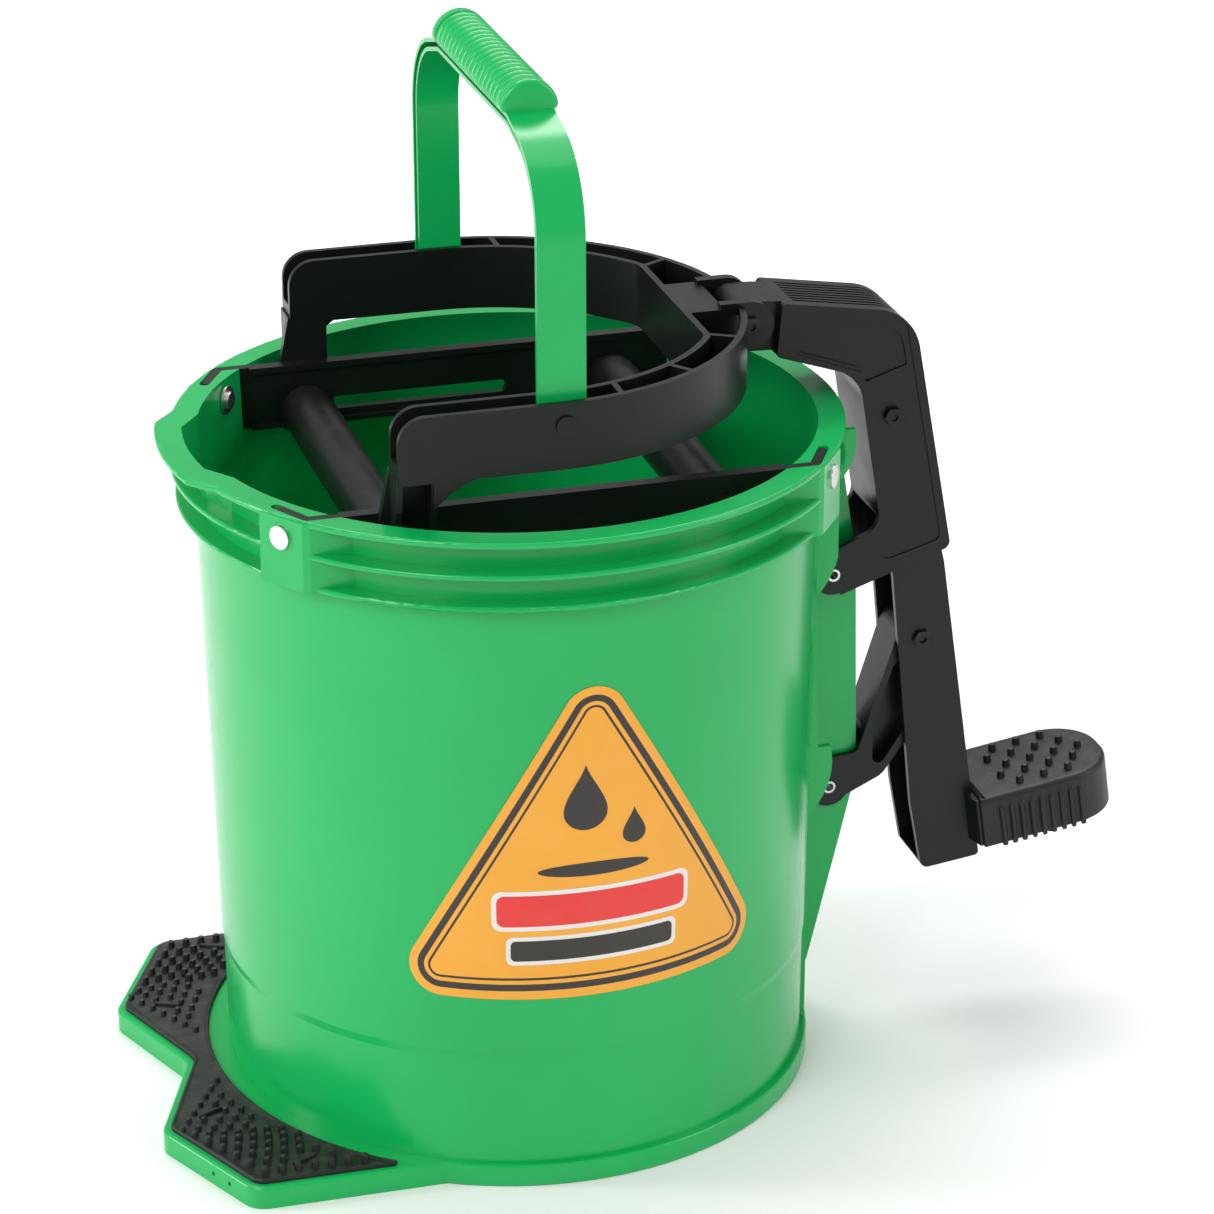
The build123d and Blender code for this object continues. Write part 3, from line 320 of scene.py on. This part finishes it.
def rounded_corners(corners, radii, steps=10):
    """Closed loop through straight sides and corner arcs; each arc starts where it leaves its side."""
    corners = np.asarray(corners, float)
    before = np.roll(corners, 1, 0) - corners
    after = np.roll(corners, -1, 0) - corners
    before /= np.linalg.norm(before, axis=1, keepdims=True)
    after /= np.linalg.norm(after, axis=1, keepdims=True)
    half = np.arccos(np.clip((before * after).sum(1), -1, 1)) / 2
    radii = np.broadcast_to(np.asarray(radii, float), half.shape)
    reach = radii / np.tan(half)
    middle = before + after
    middle /= np.linalg.norm(middle, axis=1, keepdims=True)
    centre = corners + middle * (radii / np.sin(half))[:, None]
    start = corners + before * reach[:, None] - centre
    end = corners + after * reach[:, None] - centre
    swing = np.pi - 2 * half
    share = np.linspace(0, 1, steps)[None, :, None]
    swung = swing[:, None, None]
    from_start = np.sin((1 - share) * swung) * start[:, None]
    from_end = np.sin(share * swung) * end[:, None]
    blend = (from_start + from_end) / np.sin(swung)
    return (centre[:, None] + blend).reshape(-1, 2)


def densify(loop, spacing):
    """Closed loop with points evenly spaced along its length."""
    closed = np.vstack([loop, loop[:1]])
    along = np.concatenate([[0], np.cumsum(np.linalg.norm(np.diff(closed, axis=0), axis=1))])
    count = int(along[-1] / spacing)
    wanted = np.linspace(0, along[-1], count, endpoint=False)
    return np.stack([np.interp(wanted, along, closed[:, k]) for k in (0, 1)], -1)


# ---- grip of the carrying handle ----------------------------------------------------------------
def ribbed_grip():
    """Half-round bar along Y: the half-ellipse of each section swells and shrinks as a rounded rib wave.

    A narrow ridge along the crown keeps the ribs' full height, and both ends are plain and domed.
    """
    middle_x = (GRIP_LOW.x + GRIP_HIGH.x) / 2
    half = (GRIP_HIGH.y - GRIP_LOW.y) / 2
    width, height = (GRIP_HIGH.x - GRIP_LOW.x) / 2, GRIP_HIGH.z - GRIP_LOW.z
    depth, ribs, cap = 0.0019, 18, 0.0068
    round_end = np.array([0.0, 0.08, 0.25, 0.5, 0.8]) * 0.0022
    run = np.linspace(-half + 0.0030, half - 0.0030, 18 * 14 + 1)
    y = np.concatenate([-half + round_end, run, half - round_end[::-1]])
    phase = (y + half - cap) / (2 * (half - cap))
    rib_wave = np.abs(np.sin(np.pi * np.clip(phase, 0, 1) * ribs)) ** 0.75
    wave = np.where((phase > 0) & (phase < 1), rib_wave, 1.0)
    from_end = np.minimum(y + half, half - y)
    dome = np.sqrt(np.clip(1 - (1 - np.clip(from_end / 0.0022, 0, 1)) ** 2, 0, 1))
    side = np.concatenate([np.linspace(0, np.pi / 2 - 0.12, 16),
                           np.linspace(np.pi / 2 - 0.09, np.pi / 2 + 0.09, 7),
                           np.linspace(np.pi / 2 + 0.12, np.pi, 16)])
    ridge = np.exp(-((side - np.pi / 2) / 0.045) ** 2)
    foot = np.clip(np.sin(side) / 0.12, 0, 1)
    fullness = np.maximum(wave[:, None], 0.85 * ridge[None, :]) * foot[None, :] + (1 - foot[None, :]) * 0.55
    shrink = (fullness - 1) * depth - (1 - dome[:, None]) * 0.0022
    x = (width + shrink) * np.cos(side)
    z = (height + shrink) * np.sin(side)
    under_x = np.linspace(-1, 1, 9)[None, 1:-1] * np.abs(x[:, :1])
    under_z = np.zeros_like(under_x)
    x, z = np.hstack([x, under_x]), np.hstack([z, under_z])
    columns = x.shape[1]
    points = np.stack([middle_x + x, np.broadcast_to(y[:, None], x.shape), GRIP_LOW.z + z], -1)
    faces = grid_faces(len(y), columns).tolist()
    faces += [list(range(columns))[::-1], list(range((len(y) - 1) * columns, len(y) * columns))]
    piece = build("ribbed_grip", points, faces, "handle", [GREEN_NYLON],
                  stands_for=["handle_grip"])
    sharpen(piece, 50)
    return piece


# ---- studs ----------------------------------------------------------------------------------------
def studs(centres, radius, height, lift, sides=8):
    """Short domed pegs: each is its rim circle carried up a profile that narrows to a flat tip."""
    rings = np.array([[1.12, 0.0], [1.0, 0.12], [0.94, 0.70], [0.72, 0.93], [0.30, 1.0]])
    turn = np.arange(sides) * 2 * np.pi / sides
    circle = np.stack([np.cos(turn), np.sin(turn)], -1)
    radius = np.broadcast_to(np.asarray(radius, float), (len(centres),))
    height = np.broadcast_to(np.asarray(height, float), (len(centres),))
    ring_radius = (rings[None, :, 0] * radius[:, None])[..., None, None]
    plan = centres[:, None, None, :] + circle[None, None] * ring_radius
    up = np.broadcast_to((lift + rings[None, :, 1] * height[:, None])[..., None], plan.shape[:3])
    points = np.concatenate([plan, up[..., None]], -1)
    size = len(rings) * sides
    one = grid_faces(len(rings), sides)
    caps = [np.arange(sides)[::-1], np.arange((len(rings) - 1) * sides, size)]
    faces = [list(face + k * size) for k in range(len(centres)) for face in [*one, *caps]]
    return points.reshape(-1, 3), faces


def bars(centres, angles, length, width, height, lift):
    """Short raised bars with rounded ends: a stadium loop carried up over a small chamfer."""
    steps = 7                                     # points round each end of a bar
    turn = np.concatenate([np.linspace(-np.pi / 2, np.pi / 2, steps),
                           np.linspace(np.pi / 2, 3 * np.pi / 2, steps)])
    ends = np.repeat([1.0, -1.0], steps) * (length - width) / 2
    profile = ((1.0, 0.0), (1.0, 0.7), (0.6, 1.0))
    count = len(turn)
    points, faces = [], []
    for index, (centre, angle) in enumerate(zip(centres, angles)):
        spin = np.array([[math.cos(angle), math.sin(angle)], [-math.sin(angle), math.cos(angle)]])
        for grow, rise in profile:
            along = ends + np.cos(turn) * width / 2 * grow
            plan = np.stack([along, np.sin(turn) * width / 2 * grow], -1) @ spin
            points.append(np.column_stack([plan + centre, np.full(count, lift + rise * height)]))
        first, size = index * len(profile) * count, len(profile) * count
        faces += [list(face) for face in grid_faces(len(profile), count, first)]
        faces += [list(range(first, first + count))[::-1], list(range(first + size - count, first + size))]
    return np.vstack(points), faces


def joined(*groups):
    """Points and faces of several groups as one list each."""
    points, faces, first = [], [], 0
    for group_points, group_faces in groups:
        group_points = np.asarray(group_points).reshape(-1, 3)
        points.append(group_points)
        faces += [[int(index) + first for index in face] for face in group_faces]
        first += len(group_points)
    return np.vstack(points), faces


# ---- rubber pad on the foot plate ----------------------------------------------------------------
FOOT_CORNERS = np.array([(-62.0, -121.5), (-150.5, -120.0), (-180.0, -58.5), (-157.0, 0.0),
                         (-180.0, 58.5), (-150.5, 120.0), (-62.0, 121.5)]) / 1000
PAD_MARGIN = 0.0036                               # from the foot plate's edge to the pad's
BEAD_WIDTH = 0.0022
PLATE_TOP = 0.0017                                # of the pad between its beads
PAD_BARS = np.array([(-156.3, -52.5), (-124.6, -104.2)]) / 1000     # two plain bars among the studs of a wing


def wing_studs():
    """Middles of one wing's studs: a slanted grid by the notch and a fanned grid along the outer edge.

    A stud is left out where it would stand in the arc by the wall or on a bar.
    """
    row, column = np.meshgrid(np.arange(7), np.arange(5), indexing="ij")
    by_notch = np.stack([-148.0 - 3.9 * row + 7.0 * column, -24.8 - 6.55 * row - 0.9 * column], -1)
    row, column = np.meshgrid(np.arange(6), np.arange(7), indexing="ij")
    by_edge = np.stack([-98.8 - 6.0 * row - (7.45 - 0.22 * row) * column,
                        -111.6 + 6.9 * row + (0.25 + 0.2 * row) * column], -1)
    places = np.vstack([by_notch.reshape(-1, 2), by_edge.reshape(-1, 2)]) / 1000
    from_bars = np.linalg.norm(places[:, None] - PAD_BARS[None], axis=2).min(1)
    return places[(np.hypot(places[:, 0], places[:, 1]) > 0.1485) & (from_bars > 0.0055)]


def foot_pad():
    """Pad on the two wings: its section runs out from an arc by the wall to the wings' outline.

    The section is a flat plate with a raised bead at both edges, and it is carried round the bucket's
    axis from one tip of the pad to the other, growing with the distance from the arc to the outline.
    """
    outline = densify(rounded_corners(FOOT_CORNERS, 0.0110, 14), 0.0005)
    normal = loop_normals(outline)
    if np.sum(np.cross(outline, np.roll(outline, -1, 0))) < 0:
        normal = -normal
    outline = outline - normal * PAD_MARGIN
    arc_radius = 0.1440
    wanted = np.hypot(outline[:, 0], outline[:, 1]) > arc_radius + 0.0016
    outline, normal = outline[wanted], normal[wanted]
    order = np.argsort(np.arctan2(outline[:, 1], outline[:, 0]) % (2 * np.pi))[::2]
    outline, normal = outline[order], normal[order]
    radial = outline / np.linalg.norm(outline, axis=1, keepdims=True)
    inner = radial * arc_radius
    width = np.linalg.norm(outline - inner, axis=1)
    scale = np.clip(width / 0.0060, 0, 1)[:, None]
    bead = np.array([(0.0, 0.0), (0.0, 1.4), (0.2, 1.9), (0.6, 2.2), (1.2, 2.2), (1.7, 1.9),
                     (2.2, 1.7)]) / 1000
    rows = [np.column_stack([inner + radial * inward * scale, np.full(len(inner), rise)])
            for inward, rise in bead]
    near, far = inner + radial * BEAD_WIDTH * scale, outline - normal * BEAD_WIDTH * scale
    rows += [np.column_stack([near + (far - near) * share, np.full(len(inner), PLATE_TOP)])
             for share in np.linspace(0, 1, 14)[1:-1]]
    rows += [np.column_stack([outline - normal * inward * scale, np.full(len(inner), rise)])
             for inward, rise in bead[::-1]]
    section = np.stack(rows, 1)
    section[..., 2] += PAD_LOW.z
    columns = section.shape[1]
    tips = [list(range(columns)), list(range((len(section) - 1) * columns, len(section) * columns))[::-1]]
    plate = (section.reshape(-1, 3), grid_faces(len(section), columns)[:, ::-1].tolist() + tips)
    wing = wing_studs()
    places = np.vstack([wing, wing * (1, -1)])
    outer = np.abs(places[:, 1]) > 0.074
    top = PAD_LOW.z + 0.0016
    pegs = studs(places, np.where(outer, 0.0018, 0.00155), np.where(outer, 0.0038, 0.0027), top)
    strips = bars(np.vstack([PAD_BARS, PAD_BARS * (1, -1)]), (0.42, 0.45, -0.42, -0.45), 0.0125, 0.0017,
                  0.0018, top)
    points, faces = joined(plate, pegs, strips)
    points[:, 0] += AXIS_X
    piece = build("studded_foot_pad", points, faces, "bucket", [BLACK_RUBBER],
                  stands_for=["foot_pad"])
    sharpen(piece, 38)
    return piece


# ---- rubber cover of the pedal ------------------------------------------------------------------
def pedal_cover():
    """Round-ended block: its plan loop is carried up a profile, and its sides swell in upright ribs."""
    length, half = 0.0760, 0.0270
    corners = np.array([(0.0048, -half), (length, -half), (length, half), (0.0048, half)])
    loop = densify(rounded_corners(corners, np.array([0.0006, 0.0240, 0.0240, 0.0006]), 24), 0.00045)
    out = loop_normals(loop)
    pulse = np.clip(np.cos(2 * np.pi * (loop[:, 0] - 0.0150) / 0.0050) * 1.6 + 0.35, 0, 1)
    ribbed = pulse * (loop[:, 0] > 0.0128) * (loop[:, 0] < 0.0572) * (np.abs(out[:, 1]) > 0.55)
    heights = np.array([-25.6, -25.0, -24.0, -20.0, -14.0, -8.0, -6.2, -5.4, -4.6, -2.6, -1.4, -0.6,
                        -0.1, 0.0]) / 1000
    inward = np.array([0.4, 0.0, 0.0, 0.0, 0.0, 0.0, 0.0, 0.0, 0.0, 0.0, 0.3, 0.9, 1.9, 3.2]) / 1000
    swell = np.array([1.0, 1.0, 1.0, 1.0, 1.0, 1.0, 0.9, 0.3, 0.0, 0.0, 0.0, 0.0, 0.0, 0.0]) * 0.0013
    plan = loop[None] + out[None] * (swell[:, None] * ribbed[None] - inward[:, None])[..., None]
    up = np.broadcast_to(heights[:, None], plan.shape[:2]).copy()
    up[0] = np.where(ribbed > 0.5, -0.0263, -0.0250)
    count = len(loop)
    caps = [list(range(count))[::-1], list(range((len(heights) - 1) * count, len(heights) * count))]
    block = (np.concatenate([plan, up[..., None]], -1).reshape(-1, 3),
             grid_faces(len(heights), count).tolist() + caps)
    even = np.array([(28.4 + 12.3 * k, v) for v in (-18.2, 0.0, 18.2) for k in range(4 if v == 0 else 3)])
    odd = np.array([(22.3 + 12.3 * k, v) for v in (-9.1, 9.1) for k in range(4)])
    pegs = studs(np.vstack([even, odd]) / 1000, 0.0020, 0.0038, -0.0003, sides=6)
    points, faces = joined(block, pegs)
    cos_slope, sin_slope = math.cos(PEDAL_SLOPE), math.sin(PEDAL_SLOPE)
    x = PEDAL_START[0] + points[:, 0] * cos_slope - points[:, 2] * sin_slope
    z = PEDAL_START[1] + points[:, 0] * sin_slope + points[:, 2] * cos_slope
    piece = build("ribbed_pedal_cover", np.stack([x, points[:, 1], z], -1), faces, "pedal",
                  [BLACK_RUBBER], stands_for=["pedal_cover"])
    sharpen(piece, 38)
    return piece


# ---- caution label ------------------------------------------------------------------------------
def on_wall(flat, lift):
    """Points drawn flat, as arc and height, bent round the front of the wall at a distance from it."""
    radius = wall_radius(flat[:, 1]) + lift
    angle = -np.pi / 2 + flat[:, 0] / LABEL_RADIUS
    return np.stack([AXIS_X + radius * np.cos(angle), radius * np.sin(angle), flat[:, 1]], -1)


def decal(name, rings, ring_finish, finishes, thick, lift, stands_for=()):
    """Thin closed patch: rings of one outline drawn in step by step to a point, and the same behind."""
    count = len(rings[0])
    centre = rings[-1].mean(0)[None]
    inner = [rings[-1] * (1 - share) + centre * share for share in (0.2, 0.4, 0.6, 0.8)]
    front = [on_wall(ring, lift + thick) for ring in [*rings, *inner]]
    shrunk = [rings[0] * (1 - share) + centre * share for share in (0.25, 0.5, 0.75)]
    behind = [on_wall(ring, lift) for ring in [rings[0], *shrunk]]
    points = np.vstack([*behind[::-1], *front, on_wall(centre, lift), on_wall(centre, lift + thick)])
    rows = len(behind) + len(front)
    faces = grid_faces(rows, count)[:, ::-1].tolist()
    finish = np.concatenate([np.zeros(len(behind) * count, int), np.repeat(ring_finish, count),
                             np.full(len(inner) * count, ring_finish[-1])])[:len(faces)]
    column = np.arange(count)
    last, tail = (rows - 1) * count, rows * count
    fan_back = np.stack([column, (column + 1) % count, np.full(count, tail)], -1).tolist()
    fan_front = np.stack([last + (column + 1) % count, last + column, np.full(count, tail + 1)], -1).tolist()
    finish = np.concatenate([finish, np.zeros(count, int), np.full(count, finish[-1])])
    piece = build(name, points, faces + fan_back + fan_front, "bucket", finishes, finish,
                  stands_for=stands_for)
    sharpen(piece, 60)
    return piece


def label_ring(inset):
    """Rounded triangle drawn in by the inset, with a base that sags a little in the middle."""
    top, base, half_base = 0.2560, 0.0955, 0.0925
    corners = np.array([(-half_base, base), (half_base, base), (0.0, top)])
    tilt = math.atan2(top - base, half_base)
    shift = inset / math.tan(tilt / 2)
    drawn = np.array([(-half_base + shift, base + inset), (half_base - shift, base + inset),
                      (0.0, top - inset / math.cos(tilt))])
    corner_loop = rounded_corners(drawn, 0.0140 - inset, 14).reshape(3, 14, 2)
    sides = [corner_loop[k][-1] * (1 - s) + corner_loop[(k + 1) % 3][0] * s for k in range(3)
             for s in np.linspace(0, 1, 16)[1:-1]]
    sides = np.array(sides).reshape(3, 14, 2)
    loop = np.concatenate([part for k in range(3) for part in (corner_loop[k], sides[k])])
    sag = np.clip((base + 0.02 - loop[:, 1]) / 0.02, 0, 1) * 0.0022
    return loop - np.stack([np.zeros(len(loop)), sag * (1 - (loop[:, 0] / corners[1, 0]) ** 2)], -1)


def rounded_bar(centre, size, grow):
    """Loop of a bar with rounded ends, wider on every side by the growth."""
    half = np.array(size) / 2 + grow
    corners = np.array([(-half[0], -half[1]), (half[0], -half[1]), (half[0], half[1]), (-half[0], half[1])])
    return densify(rounded_corners(corners, min(half) * 0.45, 8) + centre, 0.0012)


def drop(centre, size):
    """Loop of a water drop: a circle whose top is drawn up to a point."""
    turn = np.linspace(0, 2 * np.pi, 96, endpoint=False)
    pull = ((1 + np.sin(turn)) / 2) ** 3
    x = np.cos(turn) * (1 - pull * 0.92)
    z = np.sin(turn) + pull * 0.95
    return np.array(centre) + np.stack([x, z], -1) * size


def ellipse(centre, half):
    """Flat ellipse by its middle and its two half lengths."""
    turn = np.linspace(0, 2 * np.pi, 96, endpoint=False)
    return np.array(centre) + np.stack([np.cos(turn), np.sin(turn)], -1) * np.array(half)


def label():
    """Amber triangle with a charcoal band and line, and plain signs in place of words."""
    insets = (0.0, 0.0038, 0.0068, 0.0086, 0.0097)
    decal("label_sheet", [label_ring(inset) for inset in insets], [0, 1, 0, 1, 0], [AMBER_INK, CHARCOAL_INK],
          0.00030, 0.00002, ["caution_label"])
    signs = [("drop_large", drop((-0.0040, 0.1850), 0.0105), 0, CHARCOAL_INK),
             ("drop_small", drop((0.0180, 0.1710), 0.0058), 0, CHARCOAL_INK),
             ("puddle", ellipse((0.0, 0.1555), (0.0250, 0.0032)), 0, CHARCOAL_INK),
             ("wide_bar_edge", rounded_bar((0.0, 0.1370), (0.0860, 0.0150), 0.0022), 0, WHITE_INK),
             ("narrow_bar_edge", rounded_bar((0.0, 0.1175), (0.0740, 0.0098), 0.0020), 0, WHITE_INK),
             ("wide_bar", rounded_bar((0.0, 0.1370), (0.0860, 0.0150), 0.0), 1, RED_INK),
             ("narrow_bar", rounded_bar((0.0, 0.1175), (0.0740, 0.0098), 0.0), 1, CHARCOAL_INK)]
    for name, loop, layer, finish in signs:
        decal("label_" + name, [loop], [0], [finish], 0.00012, 0.00030 + 0.00010 * layer)


ribbed_grip()
foot_pad()
pedal_cover()
label()


# ==================================== camera, floor and light =================================
camera_data = bpy.data.cameras.new("camera")
camera_data.lens = 123.53
camera_data.sensor_width = 36.0
camera_data.shift_x, camera_data.shift_y = CAMERA_SHIFT
camera = bpy.data.objects.new("camera", camera_data)
camera.location = CAMERA_PLACE
camera.rotation_euler = (math.pi / 2 + CAMERA_TILT, 0.0, CAMERA_TURN)
bpy.context.scene.collection.objects.link(camera)
bpy.context.scene.camera = camera
bpy.context.scene.view_settings.view_transform = "Standard"


def plain_floor():
    """Large pale square under the bucket."""
    half = 6.0
    data = bpy.data.meshes.new("floor")
    corners = [(-half, -half, 0), (half, -half, 0), (half, half, 0), (-half, half, 0)]
    data.from_pydata(corners, [], [(0, 1, 2, 3)])
    floor = bpy.data.objects.new("floor", data)
    bpy.context.scene.collection.objects.link(floor)
    material = bpy.data.materials.new("pale_floor")
    material.use_nodes = True
    shader = material.node_tree.nodes["Principled BSDF"]
    shader.inputs["Base Color"].default_value = (0.92, 0.92, 0.92, 1)
    shader.inputs["Roughness"].default_value = 0.7
    data.materials.append(material)
    return floor


def softbox(name, place, aim, size, power):
    """Square area light at a place, turned towards a point."""
    data = bpy.data.lights.new(name, "AREA")
    data.energy = power
    data.shape = "RECTANGLE"
    data.size, data.size_y = size
    lamp = bpy.data.objects.new(name, data)
    lamp.location = place
    direction = np.array(aim) - np.array(place)
    lamp.rotation_euler = (math.atan2(math.hypot(direction[0], direction[1]), -direction[2]), 0.0,
                           math.atan2(direction[1], direction[0]) - math.pi / 2)
    bpy.context.scene.collection.objects.link(lamp)
    return lamp


plain_floor()
softbox("key", (-1.9, -1.6, 1.9), (0, 0, 0.2), (1.3, 1.3), 41)
softbox("side", (2.0, -1.3, 1.2), (0, 0, 0.2), (0.8, 1.8), 20)
softbox("top", (0.2, 0.6, 2.4), (0, 0, 0.2), (2.2, 2.2), 22)
softbox("edge", (-2.0, 0.5, 0.8), (0, 0, 0.15), (0.30, 1.5), 18)
softbox("floor_wash", (0.6, 1.9, 2.6), (0.7, 3.2, 0), (2.5, 1.5), 80)
world = bpy.data.worlds.new("studio")
world.use_nodes = True
world.node_tree.nodes["Background"].inputs["Color"].default_value = (1.0, 1.0, 1.0, 1)
world.node_tree.nodes["Background"].inputs["Strength"].default_value = 0.40
bpy.context.scene.world = world
